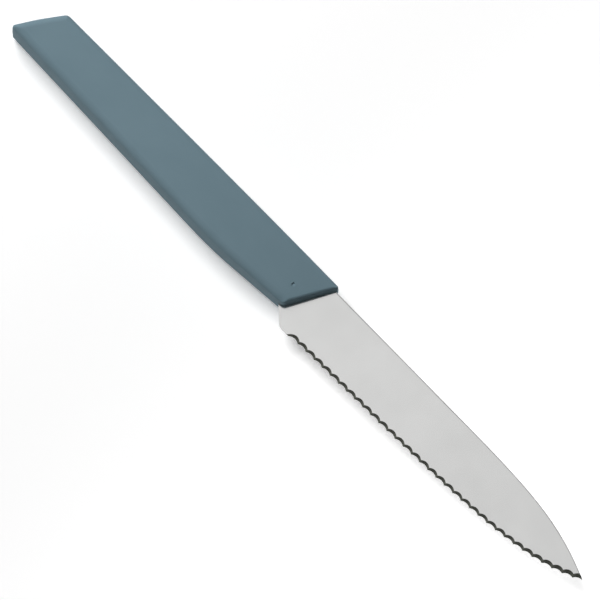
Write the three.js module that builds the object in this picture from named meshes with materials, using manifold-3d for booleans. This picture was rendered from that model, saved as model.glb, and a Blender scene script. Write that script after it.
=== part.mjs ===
// A serrated vegetable knife, lying on its side: a ground steel blade whose tang is held in a
// plastic handle moulded round it. Millimetres. X runs from the butt to the tip, Y from the
// cutting edge to the spine, and Z through the thickness, with the serrated side on top.

import * as THREE from 'three';
import { mergeVertices } from 'three/addons/utils/BufferGeometryUtils.js';
import Module from 'manifold-3d';

const wasm = await Module();
wasm.setup();

// Handle, measured on its middle plane. Its spine lies on Y = 0 behind the swell, and falls a
// little in front of it to end at X = 0.
const HANDLE_THICKNESS = 12;
const HANDLE_SPINE_LENGTH = 102.8;
const HANDLE_BUTT_HEIGHT = 13.2;
const HANDLE_SWELL_HEIGHT = 15.9;
const HANDLE_SWELL_SETBACK = 33;
const HANDLE_FRONT_HEIGHT = 13.8;
const HANDLE_FRONT_FALL = 0.28;
const FRONT_SLANT_DEG = 28.4;
const BUTT_SLANT_DEG = 32.9;
const BUTT_CROWN = 0.28;
const MOULD_DRAFT_DEG = 1.5;

// Corners of the handle's outline, and the rounding of the rim along each stretch of it.
const BUTT_SPINE_CORNER = 1.9;
const BUTT_CROWN_CORNER = 40;
const BUTT_BELLY_CORNER = 0.9;
const SWELL_CORNER = 120;
const FRONT_BELLY_CORNER = 1.8;
const FRONT_SPINE_CORNER = 0.6;
const LEAST_CORNER = 0.3;
const SPINE_RIM = 1.9;
const BUTT_RIM = 2.0;
const BELLY_RIM = 2.0;
const FRONT_RIM = 0.7;

// Mark of the moulding gate on the upper side of the handle.
const GATE_DIAMETER = 1.0;
const GATE_DEPTH = 0.3;
const GATE_SETBACK = 9.05;
const GATE_DROP = 8.4;

// Blade, measured from the front end of the handle's spine. The sweeps are the curved stretches
// of the spine and the edge before the tip.
const BLADE_LENGTH = 100.5;
const BLADE_DROP = 1.02;
const BLADE_HEEL_HEIGHT = 17.27;
const TIP_DROP = 8.03;
const TIP_CORNER = 0.5;
const SPINE_THICKNESS = 1.4;
const SPINE_EASE = 0.4;
const SPINE_EASE_WALL_SHARE = 0.8;
const EDGE_THICKNESS = 0.33;
const TIP_THICKNESS = 0.45;
const TIP_RUN = 26;
const SPINE_FALL_DEG = 0.54;
const SPINE_SWEEP = 50;
const SPINE_LEAD = 25;
const SPINE_TIP_LEAD = 16;
const SPINE_TIP_DEG = 23.6;
const EDGE_RISE_DEG = 0.68;
const EDGE_SWEEP = 75;
const EDGE_LEAD = 48;
const EDGE_TIP_LEAD = 15;
const EDGE_TIP_DEG = 27.6;
const HEEL_SETBACK = 4.1;
const HEEL_DEG = 42;
const HEEL_CORNER = 2.5;

// Serration: round hollows ground into the edge from the upper side only.
const SERRATION_SETBACK = 0.5;
const SERRATION_PITCH = 3;
const SERRATION_DEPTH = 0.8;
const SERRATION_OVERLAP = 0.55;
const SERRATION_BEVEL_DEG = 27;

// Tang, inside the handle, with holes that the plastic runs through.
const TANG_LENGTH = 72;
const TANG_SPINE_WALL = 2.7;
const TANG_BELLY_WALL = 1.8;
const TANG_REAR_WALL = 3.2;
const TANG_HOLE_DIAMETER = 4.2;
const TANG_HOLE_SETBACKS = [26, 48];
const SHOULDER_SETBACK = 4;
const GRIND_SETBACK = 13;
const GRIND_RUN_OUT = 1.5;
const MOULD_CLEARANCE = 0.15;

// Tools: how far a cutter reaches past what it cuts, and the fineness of the facets.
const CUTTER_LENGTH = 8;
const CUT_MARGIN = 1;
const MERGE_TOLERANCE = 1e-5;
const FACET_TOLERANCE = 0.004;
const RIM_STEPS = 8;
const EASE_STEPS = 4;
const CURVE_STEPS = 20;
const CUTTER_SIDES = 96;
const HOLE_SIDES = 32;

const degrees = THREE.MathUtils.degToRad;
const point = (x, y) => new THREE.Vector2(x, y);

// Solids for joining and cutting.

function toSolid(geometry) {
  const bare = geometry.clone();
  bare.deleteAttribute('normal');
  bare.deleteAttribute('uv');
  const merged = mergeVertices(bare, MERGE_TOLERANCE);
  return new wasm.Manifold(new wasm.Mesh({
    numProp: 3,
    vertProperties: new Float32Array(merged.attributes.position.array),
    triVerts: new Uint32Array(merged.index.array),
  }));
}

function toGeometry(solid) {
  const { vertProperties, triVerts } = solid.getMesh();
  const geometry = new THREE.BufferGeometry();
  geometry.setAttribute('position', new THREE.BufferAttribute(new Float32Array(vertProperties), 3));
  geometry.setIndex(new THREE.BufferAttribute(new Uint32Array(triVerts), 1));
  geometry.computeVertexNormals();
  return geometry;
}

// Skin over a stack of rings with equal counts of points, closed at both ends. Each ring turns
// anticlockwise as seen from the last one, and flatten gives its points in that view.
function loft(rings, flatten) {
  const count = rings[0].length;
  const last = (rings.length - 1) * count;
  const index = [];
  for (let start = 0; start < last; start += count) {
    for (let i = 0; i < count; i += 1) {
      const a = start + i;
      const b = start + (i + 1) % count;
      index.push(a, b, b + count, a, b + count, a + count);
    }
  }
  for (const [a, b, c] of capTriangles(rings[0].map(flatten))) {
    index.push(a, c, b);
  }
  for (const [a, b, c] of capTriangles(rings.at(-1).map(flatten))) {
    index.push(last + a, last + b, last + c);
  }
  const geometry = new THREE.BufferGeometry().setFromPoints(rings.flat());
  geometry.setIndex(index);
  return geometry;
}

function capTriangles(contour) {
  const { area, triangulateShape } = THREE.ShapeUtils;
  return triangulateShape(contour, []).map(([a, b, c]) => (
    area([contour[a], contour[b], contour[c]]) > 0 ? [a, b, c] : [a, c, b]
  ));
}

// Outlines that turn anticlockwise.

function outwardNormal(from, to) {
  const along = to.clone().sub(from).normalize();
  return point(along.y, -along.x);
}

// A corner after the two sides that meet there have moved outward.
function shiftCorner(before, at, after, outward, outwardAfter = outward) {
  const first = outwardNormal(before, at);
  const second = outwardNormal(at, after);
  const cosine = first.dot(second);
  const mean = (outward + outwardAfter) / 2;
  const shifted = first.clone().add(second).multiplyScalar(mean / (1 + cosine)).add(at);
  if (outward !== outwardAfter) {
    shifted.addScaledVector(first.sub(second), (outward - mean) / (1 - cosine));
  }
  return shifted;
}

function cornerTurn(before, at, after) {
  const first = outwardNormal(before, at);
  const second = outwardNormal(at, after);
  return Math.atan2(first.cross(second), first.dot(second));
}

function arcSteps(turn, radius) {
  return Math.ceil(turn / (2 * Math.acos(1 - FACET_TOLERANCE / radius)));
}

function roundCorner(before, at, after, radius, steps) {
  const centre = shiftCorner(before, at, after, -radius);
  const start = outwardNormal(before, at).angle();
  const turn = cornerTurn(before, at, after);
  return Array.from({ length: steps + 1 }, (_, step) => {
    const angle = start + turn * step / steps;
    return point(Math.cos(angle), Math.sin(angle)).multiplyScalar(radius).add(centre);
  });
}

function softCorner(before, at, after, radius) {
  return roundCorner(before, at, after, radius, arcSteps(cornerTurn(before, at, after), radius));
}

const neighbours = (list, i) => [list.at(i - 1), list[i], list[(i + 1) % list.length]];

// Handle.

const frontRun = (HANDLE_FRONT_HEIGHT - HANDLE_FRONT_FALL) * Math.tan(degrees(FRONT_SLANT_DEG));
const buttRun = HANDLE_BUTT_HEIGHT * Math.tan(degrees(BUTT_SLANT_DEG));
const buttSpine = point(-HANDLE_SPINE_LENGTH, 0);
const buttBelly = point(-HANDLE_SPINE_LENGTH - buttRun, -HANDLE_BUTT_HEIGHT);
const buttCrown = buttSpine.clone().add(buttBelly).divideScalar(2)
  .addScaledVector(outwardNormal(buttSpine, buttBelly), BUTT_CROWN);

// Each corner, with the rim of the stretch that leads from it to the next one.
const handleCorners = [
  { at: point(0, -HANDLE_FRONT_FALL), corner: FRONT_SPINE_CORNER, rim: SPINE_RIM },
  { at: point(-HANDLE_SWELL_SETBACK, 0), corner: SWELL_CORNER, rim: SPINE_RIM },
  { at: buttSpine, corner: BUTT_SPINE_CORNER, rim: BUTT_RIM },
  { at: buttCrown, corner: BUTT_CROWN_CORNER, rim: BUTT_RIM },
  { at: buttBelly, corner: BUTT_BELLY_CORNER, rim: BELLY_RIM },
  { at: point(-HANDLE_SWELL_SETBACK, -HANDLE_SWELL_HEIGHT), corner: SWELL_CORNER, rim: BELLY_RIM },
  { at: point(-frontRun, -HANDLE_FRONT_HEIGHT), corner: FRONT_BELLY_CORNER, rim: FRONT_RIM },
];

// The handle's outline where each stretch is drawn in by its own inset and has its own height.
function handleRing(insets, heights) {
  const sharp = handleCorners.map(({ at }) => at);
  const moved = sharp.map((_, i) => (
    shiftCorner(...neighbours(sharp, i), -insets.at(i - 1), -insets[i])
  ));
  return handleCorners.flatMap(({ corner }, i) => {
    const radius = Math.max(corner - (insets.at(i - 1) + insets[i]) / 2, LEAST_CORNER);
    const steps = arcSteps(cornerTurn(...neighbours(sharp, i)), corner);
    const arc = roundCorner(...neighbours(moved, i), radius, steps);
    return arc.map(({ x, y }, step) => {
      const height = THREE.MathUtils.lerp(heights.at(i - 1), heights[i], step / steps);
      return new THREE.Vector3(x, y, height);
    });
  });
}

// One ring of the rounded rim, from the drafted wall (turn 0) up to the flat side (turn 90 degrees).
function rimRing(side, turn) {
  const draft = Math.tan(degrees(MOULD_DRAFT_DEG));
  const heights = handleCorners.map(({ rim }) => HANDLE_THICKNESS / 2 - rim * (1 - Math.sin(turn)));
  const insets = handleCorners.map(({ rim }, i) => rim * (1 - Math.cos(turn)) + draft * heights[i]);
  return handleRing(insets, heights.map((height) => side * height));
}

function handleBody() {
  const turns = Array.from({ length: RIM_STEPS + 1 }, (_, step) => degrees(90 * step / RIM_STEPS));
  const level = handleCorners.map(() => 0);
  const rings = [
    ...turns.toReversed().map((turn) => rimRing(-1, turn)),
    handleRing(level, level),
    ...turns.map((turn) => rimRing(1, turn)),
  ];
  return toSolid(loft(rings, ({ x, y }) => point(x, y)));
}

function gateMark() {
  const radius = GATE_DIAMETER / 2;
  const pit = new THREE.CylinderGeometry(radius, radius, 2 * GATE_DEPTH, HOLE_SIDES);
  pit.rotateX(degrees(90)).translate(-GATE_SETBACK, -GATE_DROP, HANDLE_THICKNESS / 2);
  return toSolid(pit);
}

// Blade outline.

const spineAt = (x) => -BLADE_DROP - x * Math.tan(degrees(SPINE_FALL_DEG));
const edgeAt = (x) => -BLADE_DROP - BLADE_HEEL_HEIGHT + x * Math.tan(degrees(EDGE_RISE_DEG));
const tip = point(BLADE_LENGTH, -BLADE_DROP - TIP_DROP);
const heel = point(-HEEL_SETBACK, edgeAt(-HEEL_SETBACK));
const spineBend = BLADE_LENGTH - SPINE_SWEEP;
const edgeBend = BLADE_LENGTH - EDGE_SWEEP;

const spineCurve = new THREE.CubicBezierCurve(
  tip,
  point(-Math.cos(degrees(SPINE_TIP_DEG)), Math.sin(degrees(SPINE_TIP_DEG)))
    .multiplyScalar(SPINE_TIP_LEAD).add(tip),
  point(spineBend + SPINE_LEAD, spineAt(spineBend + SPINE_LEAD)),
  point(spineBend, spineAt(spineBend)),
);
const edgeCurve = new THREE.CubicBezierCurve(
  point(edgeBend, edgeAt(edgeBend)),
  point(edgeBend + EDGE_LEAD, edgeAt(edgeBend + EDGE_LEAD)),
  point(-Math.cos(degrees(EDGE_TIP_DEG)), -Math.sin(degrees(EDGE_TIP_DEG)))
    .multiplyScalar(EDGE_TIP_LEAD).add(tip),
  tip,
);
const spinePoints = spineCurve.getPoints(CURVE_STEPS);
const edgePoints = edgeCurve.getPoints(CURVE_STEPS);

// The tang keeps its walls of plastic to the handle's spine and belly, and ends in a half round.
const tangFrontTop = -TANG_SPINE_WALL;
const tangFrontBottom = -HANDLE_FRONT_HEIGHT + TANG_BELLY_WALL;
const tangRearTop = -TANG_REAR_WALL;
const tangRearBottom = -HANDLE_BUTT_HEIGHT + TANG_REAR_WALL;
const tangEndRadius = (tangRearTop - tangRearBottom) / 2;
const tangRearX = tangEndRadius - TANG_LENGTH;
const tangFrontX = heel.x - (tangFrontBottom - heel.y) / Math.tan(degrees(HEEL_DEG));
const shoulderX = -SHOULDER_SETBACK - (spineAt(-SHOULDER_SETBACK) - tangFrontTop);

function bladeOutline(grow) {
  const tangMiddle = (tangRearTop + tangRearBottom) / 2;
  const tangFoot = point(tangFrontX, tangFrontBottom);
  const tangEnd = new THREE.EllipseCurve(
    tangRearX, tangMiddle, tangEndRadius, tangEndRadius, degrees(90), degrees(270),
  );
  const points = [
    ...softCorner(edgePoints.at(-2), tip, spinePoints[1], TIP_CORNER),
    ...spinePoints.slice(1),
    point(-SHOULDER_SETBACK, spineAt(-SHOULDER_SETBACK)),
    point(shoulderX, tangFrontTop),
    ...tangEnd.getPoints(arcSteps(degrees(180), tangEndRadius)),
    tangFoot,
    ...softCorner(tangFoot, heel, edgePoints[0], HEEL_CORNER),
    ...edgePoints.slice(0, -1),
  ];
  const grown = points.map((_, i) => shiftCorner(...neighbours(points, i), grow));
  const outline = new THREE.Shape(grown);
  for (const setback of TANG_HOLE_SETBACKS) {
    const middle = THREE.MathUtils.mapLinear(
      -setback, tangRearX, shoulderX, tangMiddle, (tangFrontTop + tangFrontBottom) / 2,
    );
    const hole = new THREE.Path();
    hole.absarc(-setback, middle, TANG_HOLE_DIAMETER / 2 - grow, 0, degrees(360), true);
    outline.holes.push(hole);
  }
  return outline;
}

// Blade thickness: the tang is as thick as the sheet, and both faces of the blade are ground at one
// angle from the spine down to the edge, which gets thicker over the last run before the tip.

const grindSlope = (SPINE_THICKNESS - EDGE_THICKNESS) / BLADE_HEEL_HEIGHT;

function edgeThicknessAt(x) {
  const along = THREE.MathUtils.clamp((x - BLADE_LENGTH + TIP_RUN) / TIP_RUN, 0, 1);
  return THREE.MathUtils.lerp(EDGE_THICKNESS, TIP_THICKNESS, along);
}

function groundSlab(grow) {
  const section = (x, edge, thickness, slope) => {
    const low = edge - CUT_MARGIN;
    const high = CUT_MARGIN;
    const half = (y) => (thickness + slope * (y - edge)) / 2 + grow;
    return [[low, -half(low)], [high, -half(high)], [high, half(high)], [low, half(low)]]
      .map(([y, z]) => new THREE.Vector3(x, y, z));
  };
  const sheet = (x) => section(x, edgeAt(x), SPINE_THICKNESS, 0);
  const ground = ({ x, y }) => section(x, y, edgeThicknessAt(x), grindSlope);
  const sections = [
    sheet(-TANG_LENGTH - CUT_MARGIN),
    sheet(-GRIND_SETBACK - GRIND_RUN_OUT),
    ground(point(-GRIND_SETBACK, edgeAt(-GRIND_SETBACK))),
    ...edgePoints.map(ground),
    ground(point(tip.x + CUT_MARGIN, tip.y)),
  ];
  return toSolid(loft(sections, ({ y, z }) => point(y, z)));
}

// The point of the edge straight below a place on the spine.
function edgeBelow(x) {
  const next = edgePoints.findIndex((at) => at.x >= x);
  if (next < 1) {
    return point(x, edgeAt(x));
  }
  const share = THREE.MathUtils.inverseLerp(edgePoints[next - 1].x, edgePoints[next].x, x);
  return edgePoints[next - 1].clone().lerp(edgePoints[next], share);
}

// What is taken off along one edge of the spine to round it, on the upper (1) or the lower (-1) side.
function spineEase(side, grow) {
  const path = [
    ...spinePoints,
    point(edgeBend, spineAt(edgeBend)),
    point(-SHOULDER_SETBACK, spineAt(-SHOULDER_SETBACK)),
  ];
  const reach = grow + CUT_MARGIN;
  const sections = path.map((at, i) => {
    const normal = outwardNormal(path[Math.max(i - 1, 0)], path[i + 1] ?? at);
    const edge = edgeBelow(at.x);
    const half = (edgeThicknessAt(at.x) + grindSlope * (at.y - edge.y)) / 2;
    const radius = Math.min(SPINE_EASE, SPINE_EASE_WALL_SHARE * half);
    const arc = new THREE.EllipseCurve(
      -radius, half - radius, radius + grow, radius + grow, 0, degrees(90),
    );
    const outline = [
      ...arc.getPoints(EASE_STEPS),
      point(-radius, half + reach),
      point(reach, half + reach),
      point(reach, half - radius),
    ];
    const ring = outline.map(({ x: outward, y: height }) => {
      const { x, y } = at.clone().addScaledVector(normal, outward);
      return new THREE.Vector3(x, y, side * height);
    });
    return side > 0 ? ring : ring.reverse();
  });
  return toSolid(loft(sections, ({ y, z }) => point(-y, z)));
}

function bladeBlank(grow) {
  const depth = 2 * SPINE_THICKNESS + 2 * grow;
  const plate = new THREE.ExtrudeGeometry(bladeOutline(grow), {
    depth,
    bevelEnabled: false,
    curveSegments: HOLE_SIDES / 2,
  });
  plate.translate(0, 0, -depth / 2);
  return toSolid(plate)
    .intersect(groundSlab(grow))
    .subtract(spineEase(1, grow))
    .subtract(spineEase(-1, grow));
}

// Each hollow is a round cutter laid at the bevel angle, with its lowest line through the deepest
// point of the hollow on the blade's back face.
function serrationCutters() {
  const edge = new THREE.CurvePath();
  edge.add(new THREE.LineCurve(heel, edgeCurve.getPoint(0)));
  edge.add(edgeCurve);
  const length = edge.getLength();
  const start = HEEL_SETBACK - SERRATION_SETBACK;
  const count = Math.floor((length - start) / SERRATION_PITCH);
  const bevel = degrees(SERRATION_BEVEL_DEG);
  const sag = SERRATION_DEPTH * Math.sin(bevel);
  const halfWidth = (SERRATION_PITCH + SERRATION_OVERLAP) / 2;
  const radius = (halfWidth ** 2 + sag ** 2) / (2 * sag);
  return Array.from({ length: count }, (_, i) => {
    const along = (start + (i + 0.5) * SERRATION_PITCH) / length;
    const at = edge.getPoint(along);
    const tangent = edge.getTangent(along);
    const inward = new THREE.Vector3(-tangent.y, tangent.x, 0);
    const axis = inward.clone().multiplyScalar(Math.cos(bevel)).setZ(Math.sin(bevel));
    const away = inward.clone().multiplyScalar(-Math.sin(bevel)).setZ(Math.cos(bevel));
    const centre = new THREE.Vector3(at.x, at.y, -edgeThicknessAt(at.x) / 2)
      .addScaledVector(inward, SERRATION_DEPTH)
      .addScaledVector(away, radius);
    const cutter = new THREE.CylinderGeometry(radius, radius, CUTTER_LENGTH, CUTTER_SIDES);
    cutter.applyQuaternion(new THREE.Quaternion().setFromUnitVectors(new THREE.Vector3(0, 1, 0), axis));
    cutter.translate(centre.x, centre.y, centre.z);
    return toSolid(cutter);
  });
}

// The two pieces, with the part's origin under the middle of its outline.

const bladeSolid = serrationCutters().reduce((solid, cutter) => solid.subtract(cutter), bladeBlank(0));
const handleSolid = handleBody().subtract(bladeBlank(MOULD_CLEARANCE)).subtract(gateMark());

const steel = new THREE.MeshStandardMaterial({ color: 0xc9c9c7, roughness: 0.35, metalness: 1 });
const plastic = new THREE.MeshStandardMaterial({ color: 0x6a7e87, roughness: 0.6, metalness: 0 });

const blade = new THREE.Mesh(toGeometry(bladeSolid), steel);
blade.name = 'blade';
const handle = new THREE.Mesh(toGeometry(handleSolid), plastic);
handle.name = 'handle';

const knife = new THREE.Group();
knife.add(blade, handle);
const extent = new THREE.Box3().setFromObject(knife);
const middle = extent.getCenter(new THREE.Vector3());
knife.position.set(-middle.x, -middle.y, -extent.min.z);

export default knife;
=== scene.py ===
"""Looks of the vegetable knife: satin ground steel and matte moulded plastic, on a pale floor."""

import math

import bmesh
import bpy
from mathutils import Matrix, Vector
from mathutils.bvhtree import BVHTree


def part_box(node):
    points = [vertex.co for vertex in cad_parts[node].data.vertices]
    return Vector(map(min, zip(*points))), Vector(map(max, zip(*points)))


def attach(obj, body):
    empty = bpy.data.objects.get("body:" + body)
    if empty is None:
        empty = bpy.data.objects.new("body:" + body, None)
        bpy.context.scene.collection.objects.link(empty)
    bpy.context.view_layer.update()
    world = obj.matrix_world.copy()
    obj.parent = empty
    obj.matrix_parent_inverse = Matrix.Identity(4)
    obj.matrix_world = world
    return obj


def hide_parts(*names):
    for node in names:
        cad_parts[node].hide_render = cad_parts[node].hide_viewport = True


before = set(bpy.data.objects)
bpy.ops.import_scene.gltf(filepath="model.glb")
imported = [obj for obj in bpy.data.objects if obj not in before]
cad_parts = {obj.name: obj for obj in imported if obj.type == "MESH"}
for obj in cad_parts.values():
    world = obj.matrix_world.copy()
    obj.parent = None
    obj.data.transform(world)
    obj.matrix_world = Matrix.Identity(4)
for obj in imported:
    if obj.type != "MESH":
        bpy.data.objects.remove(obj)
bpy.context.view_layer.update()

# Meshes, with lengths in metres. Faces within FLAT_DEG of each other join where the edge between them is
# longer than FLAT_EDGE, so that small marks keep their own faces.
WELD = 1e-6
FLAT_DEG = 0.2
FLAT_EDGE = 0.002
CREASE_DEG = 23.5

# The serration's hollows lean out of the blade's face by more than its grind and less than its edges.
HOLLOW_LEAN_DEG = (10, 65)

# Places in the blade's list of materials, in which the steel of its faces comes first.
HOLLOW_DARKENED_INDEX = 1
SHEARED_SHADED_INDEX = 2

# The handle's front stretch thins towards the blade along a curve, more above than below, and widens a
# little from the swell on. What lies within SLOT_REACH of the blade is the slot, and stays.
THIN_RUN = 0.052
THIN_POWER = 2
THIN_SHARE_BELOW = 0.12
THIN_SHARE_ABOVE = 0.42
THIN_CUTS = 13
WIDE_RUN = 0.033
WIDE_SHARE = 0.042
SLOT_REACH = 0.0004

# The rim of the handle's front end, which is slanted, rounds off further back than the solid's.
FRONT_SLANT_DEG = 28.4
ROUND_START = 0.0001
ROUND_RUN = 0.0009
ROUND_DROP = 0.0016
ROUND_CUTS = (0.0008, 0.0009)

# Camera: the photograph's angle, from far away.
AZIMUTH_DEG = 46
ELEVATION_DEG = 75
DISTANCE = 6.5
VIEW_WIDTH = 0.1569
AIM = Vector((-0.00016, -0.00014, 0.006))

# Light: a long panel overhead, which ends above the blade, a softbox past the butt, and a table that
# glows more under the blade than under the handle.
FLOOR_SIZE = 6
GLOW_PLACES = (-0.06, 0.1)
GLOWS = (0.22, 0.8)
GLOW_POWER = 2
TOP_PLACE = Vector((-0.55, 0.03, 0.9))
TOP_SIZE = (1.3, 0.66)
TOP_RADIANCE = 0.96
KEY_AZIMUTH_DEG = 263
KEY_ELEVATION_DEG = 51
KEY_DISTANCE = 1.0
KEY_SIZE = (0.5, 0.5)
KEY_RADIANCE = 10.8

# The room that the steel mirrors: its walls darken into the ceiling between two elevations.
WALL_RADIANCE = 0.5
CEILING_RADIANCE = 0.04
WALL_EDGES_DEG = (25, 60)

# Nodes: where most values of a noise lie, and the sockets of a Mix node that mixes colours.
NOISE_RANGE = (0.3, 0.7)
MIX_FACTOR = 0
MIX_FIRST = 6
MIX_SECOND = 7
MIX_RESULT = 2

WHITE = (1, 1, 1, 1)


def turned(azimuth_deg, elevation_deg):
    """Direction from the object to a place seen at this azimuth and elevation."""
    azimuth = math.radians(azimuth_deg)
    elevation = math.radians(elevation_deg)
    level = math.cos(elevation)
    return Vector((math.sin(azimuth) * level, -math.cos(azimuth) * level, math.sin(elevation)))


def aim_at(thing, target):
    thing.rotation_euler = (target - thing.location).to_track_quat("-Z", "Y").to_euler()


def add(name, data):
    thing = bpy.data.objects.new(name, data)
    bpy.context.scene.collection.objects.link(thing)
    return thing


# Materials


class Nodes:
    """The node tree of a material or of the world, built node by node."""

    def __init__(self, owner, shader="Principled BSDF"):
        owner.use_nodes = True
        self.owner = owner
        self.tree = owner.node_tree
        self.shader = self.tree.nodes[shader]

    def put(self, socket, value):
        """Links another node's output to a socket, or sets the socket to a constant."""
        if isinstance(value, bpy.types.NodeSocket):
            self.tree.links.new(value, socket)
        else:
            socket.default_value = value

    def add(self, kind, inputs=None, **settings):
        node = self.tree.nodes.new(kind)
        for name, value in settings.items():
            setattr(node, name, value)
        for name, value in (inputs or {}).items():
            self.put(node.inputs[name], value)
        return node

    def place(self, scale):
        """Object coordinates, stretched."""
        where = self.add("ShaderNodeTexCoord").outputs["Object"]
        return self.add("ShaderNodeMapping", {"Vector": where, "Scale": scale}).outputs["Vector"]

    def noise(self, grains, detail):
        """Noise with about this many grains a metre along each axis."""
        inputs = {"Vector": self.place(grains), "Scale": 1.0, "Detail": detail}
        return self.add("ShaderNodeTexNoise", inputs).outputs["Fac"]

    def spread(self, value, low=0, high=1, source=NOISE_RANGE):
        """A value moved from its source range to the range from low to high, and kept within it."""
        inputs = {
            "Value": value,
            "From Min": source[0],
            "From Max": source[1],
            "To Min": low,
            "To Max": high,
        }
        return self.add("ShaderNodeMapRange", inputs).outputs["Result"]

    def power(self, value, exponent):
        return self.add("ShaderNodeMath", {0: value, 1: exponent}, operation="POWER").outputs["Value"]

    def blend(self, factor, first, second):
        """A mix of two colours."""
        inputs = {MIX_FACTOR: factor, MIX_FIRST: (*first, 1), MIX_SECOND: (*second, 1)}
        return self.add("ShaderNodeMix", inputs, data_type="RGBA").outputs[MIX_RESULT]

    def bump(self, height, distance, strength):
        inputs = {"Height": height, "Distance": distance, "Strength": strength}
        return self.add("ShaderNodeBump", inputs).outputs["Normal"]

    def finish(self, **values):
        for name, value in values.items():
            self.put(self.shader.inputs[name.replace("_", " ")], value)
        return self.owner


def satin_steel():
    """Ground steel: fine lines from the spine to the edge, and a faint cloudiness."""
    nodes = Nodes(bpy.data.materials.new("satin_steel"))
    lines = nodes.noise((7000, 120, 120), detail=2)
    streaks = nodes.noise((900, 40, 40), detail=2)
    clouds = nodes.noise((70, 70, 70), detail=2)
    return nodes.finish(
        Base_Color=nodes.blend(nodes.spread(clouds), (0.59, 0.59, 0.585), (0.63, 0.63, 0.625)),
        Metallic=1.0,
        Roughness=nodes.spread(streaks, low=0.145, high=0.165),
        Normal=nodes.bump(lines, distance=1e-6, strength=0.02),
    )


def sheared_steel_painted_shade():
    """The blank's cut edge: dull, with marks of the shear across it, and a darker base colour that paints
    the shade along the edge.
    """
    nodes = Nodes(bpy.data.materials.new("sheared_steel_painted_shade"))
    marks = nodes.noise((2500, 2500, 300), detail=2)
    return nodes.finish(
        # Painted shade: the base colour is darkened so that the upright edge walls show as a dark line.
        Base_Color=nodes.blend(nodes.spread(marks), (0.26, 0.26, 0.255), (0.34, 0.34, 0.335)),
        Metallic=1.0,
        Roughness=nodes.spread(marks, low=0.4, high=0.5),
        Normal=nodes.bump(marks, distance=2e-6, strength=0.3),
    )


def hollow_steel_painted_dark():
    """The serration's hollows: grinding marks across the edge, in steel darkened as a painted dark
    reflection.
    """
    nodes = Nodes(bpy.data.materials.new("hollow_ground_steel_painted_dark"))
    lines = nodes.noise((9000, 500, 500), detail=2)
    return nodes.finish(
        # Painted reflection: the base colour is much darker than the blade's steel and stands in for the
        # dark surroundings that the hollows mirror.
        Base_Color=nodes.blend(nodes.spread(lines), (0.195, 0.205, 0.175), (0.245, 0.255, 0.22)),
        Metallic=1.0,
        Roughness=nodes.spread(lines, low=0.16, high=0.24),
        Normal=nodes.bump(lines, distance=2e-6, strength=0.3),
    )


def moulded_plastic():
    """Matte plastic with the fine grain of an eroded mould."""
    nodes = Nodes(bpy.data.materials.new("moulded_plastic"))
    grain = nodes.noise((3600, 3600, 3600), detail=2)
    clouds = nodes.noise((90, 140, 140), detail=3)
    return nodes.finish(
        Base_Color=nodes.blend(nodes.spread(clouds), (0.152, 0.23, 0.27), (0.162, 0.242, 0.283)),
        Roughness=nodes.spread(clouds, low=0.68, high=0.74),
        Specular_IOR_Level=0.08,
        Normal=nodes.bump(grain, distance=8e-6, strength=0.4),
    )


def pale_floor():
    """A matte, faintly cloudy table, whose glow rises along a curve from the handle to the tip."""
    nodes = Nodes(bpy.data.materials.new("pale_floor"))
    clouds = nodes.noise((3, 3, 3), detail=1)
    along = nodes.add("ShaderNodeSeparateXYZ", {"Vector": nodes.place((1, 1, 1))}).outputs["X"]
    progress = nodes.spread(along, source=GLOW_PLACES)
    curved = nodes.power(progress, GLOW_POWER)
    return nodes.finish(
        Base_Color=nodes.blend(clouds, (0.9, 0.9, 0.9), (0.92, 0.92, 0.92)),
        Roughness=0.9,
        Specular_IOR_Level=0.0,
        Emission_Color=WHITE,
        Emission_Strength=nodes.spread(curved, *GLOWS, source=(0, 1)),
    )


def pale_room():
    """Pale walls under a dark ceiling, for the steel to mirror. They light no matte surface."""
    nodes = Nodes(bpy.data.worlds.new("pale_room"), "Background")
    nodes.owner.cycles_visibility.diffuse = False
    way = nodes.add("ShaderNodeTexCoord").outputs["Generated"]
    height = nodes.add("ShaderNodeSeparateXYZ", {"Vector": way}).outputs["Z"]
    wall_edges = [math.sin(math.radians(elevation)) for elevation in WALL_EDGES_DEG]
    radiance = nodes.spread(height, WALL_RADIANCE, CEILING_RADIANCE, source=wall_edges)
    return nodes.finish(Color=WHITE, Strength=radiance)


# Pieces


def dressed(name, node, materials):
    """A piece with the shape of a solid, welded and smooth, with its large flats as single faces."""
    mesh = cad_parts[node].data.copy()
    mesh.name = name
    mesh.materials.clear()
    for material in materials:
        mesh.materials.append(material)
    shape = bmesh.new()
    shape.from_mesh(mesh)
    bmesh.ops.remove_doubles(shape, verts=shape.verts, dist=WELD)
    bmesh.ops.dissolve_limit(
        shape,
        angle_limit=math.radians(FLAT_DEG),
        verts=shape.verts,
        edges=[edge for edge in shape.edges if edge.calc_length() > FLAT_EDGE],
    )
    for face in shape.faces:
        face.smooth = True
        face.material_index = 0
    shape.to_mesh(mesh)
    shape.free()
    mesh.set_sharp_from_angle(angle=math.radians(CREASE_DEG))
    piece = add(name, mesh)
    weighted = piece.modifiers.new("weighted_normals", "WEIGHTED_NORMAL")
    weighted.mode = "FACE_AREA"
    weighted.keep_sharp = True
    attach(piece, "root")
    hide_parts(node)
    return piece


def finish_edge(blade):
    """Gives the faces that look out past the edge their own steel, darkened as painted light: the hollows
    with a painted dark reflection, and the upright walls with painted shade.
    """
    steep, flat = (math.cos(math.radians(lean)) for lean in reversed(HOLLOW_LEAN_DEG))
    for face in blade.data.polygons:
        if face.normal.y < 0 and steep < face.normal.z < flat:
            # Painted reflection: the hollows get the darkened steel.
            face.material_index = HOLLOW_DARKENED_INDEX
        elif face.normal.y < 0 and abs(face.normal.z) <= steep:
            # Painted shade: the upright walls get the darkened steel.
            face.material_index = SHEARED_SHADED_INDEX


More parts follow.
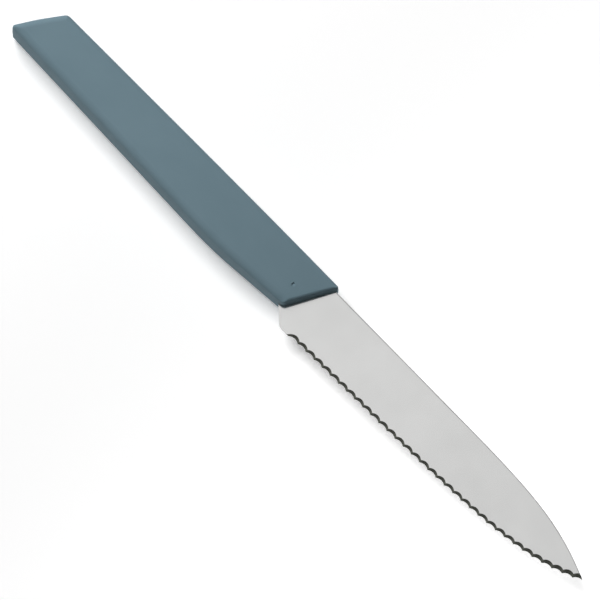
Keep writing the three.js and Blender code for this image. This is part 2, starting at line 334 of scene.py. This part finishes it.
def cut_across(shape, place, normal):
    bmesh.ops.bisect_plane(
        shape,
        geom=[*shape.verts, *shape.edges, *shape.faces],
        plane_co=place,
        plane_no=normal,
    )


def surface_of(mesh):
    return BVHTree.FromPolygons(
        [vertex.co for vertex in mesh.vertices],
        [face.vertices for face in mesh.polygons],
    )


def thin_front(handle):
    """Draws the handle's sides in towards the blade and rounds its front, and leaves the slot as it is."""
    low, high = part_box("handle")
    middle = (low + high) / 2
    slant = math.radians(FRONT_SLANT_DEG)
    outward = Vector((math.cos(slant), -math.sin(slant), 0))
    blade_surface = surface_of(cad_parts["blade"].data)
    shape = bmesh.new()
    shape.from_mesh(handle.data)
    front = max(vertex.co.dot(outward) for vertex in shape.verts) - ROUND_START
    for cut in range(1, THIN_CUTS + 1):
        cut_across(shape, (high.x - THIN_RUN * cut / THIN_CUTS, 0, 0), (1, 0, 0))
    for inset in ROUND_CUTS:
        cut_across(shape, (front - inset) * outward, outward)
    for vertex in shape.verts:
        if blade_surface.find_nearest(vertex.co, SLOT_REACH)[0]:
            continue
        # The round front lowers the rim along an ellipse.
        inset = max(front - vertex.co.dot(outward), 0)
        short = max(1 - inset / ROUND_RUN, 0)
        limit = high.z - middle.z - ROUND_DROP * (1 - math.sqrt(1 - short ** 2))
        rise = min(max(vertex.co.z - middle.z, -limit), limit)
        # The thinning and the widening grow towards the blade.
        setback = high.x - vertex.co.x
        thinned = max(1 - setback / THIN_RUN, 0) ** THIN_POWER
        widened = max(1 - setback / WIDE_RUN, 0)
        share = THIN_SHARE_ABOVE if rise > 0 else THIN_SHARE_BELOW
        vertex.co.z = middle.z + rise * (1 - share * thinned)
        vertex.co.y += (vertex.co.y - middle.y) * WIDE_SHARE * widened
    shape.to_mesh(handle.data)
    shape.free()
    handle.data.set_sharp_from_angle(angle=math.radians(CREASE_DEG))


def add_floor():
    shape = bmesh.new()
    bmesh.ops.create_grid(shape, x_segments=1, y_segments=1, size=FLOOR_SIZE / 2)
    mesh = bpy.data.meshes.new("floor")
    shape.to_mesh(mesh)
    shape.free()
    mesh.materials.append(pale_floor())
    add("floor", mesh)


# Camera and light


def add_camera():
    data = bpy.data.cameras.new("camera")
    data.lens = data.sensor_width * DISTANCE / VIEW_WIDTH
    camera = add("camera", data)
    camera.location = AIM + DISTANCE * turned(AZIMUTH_DEG, ELEVATION_DEG)
    aim_at(camera, AIM)
    bpy.context.scene.camera = camera


def add_softbox(name, location, size, radiance):
    data = bpy.data.lights.new(name, "AREA")
    data.shape = "RECTANGLE"
    data.size, data.size_y = size
    data.energy = radiance * math.pi * data.size * data.size_y
    light = add(name, data)
    light.location = location
    return light


def add_light():
    add_softbox("top_panel", TOP_PLACE, TOP_SIZE, TOP_RADIANCE)
    key_place = AIM + KEY_DISTANCE * turned(KEY_AZIMUTH_DEG, KEY_ELEVATION_DEG)
    aim_at(add_softbox("key_softbox", key_place, KEY_SIZE, KEY_RADIANCE), AIM)
    scene = bpy.context.scene
    scene.world = pale_room()
    scene.view_settings.view_transform = "Standard"


add_camera()
add_light()
add_floor()
knife_blade = dressed("knife_blade", "blade", [satin_steel(), hollow_steel_painted_dark(), sheared_steel_painted_shade()])
finish_edge(knife_blade)
knife_handle = dressed("knife_handle", "handle", [moulded_plastic()])
thin_front(knife_handle)
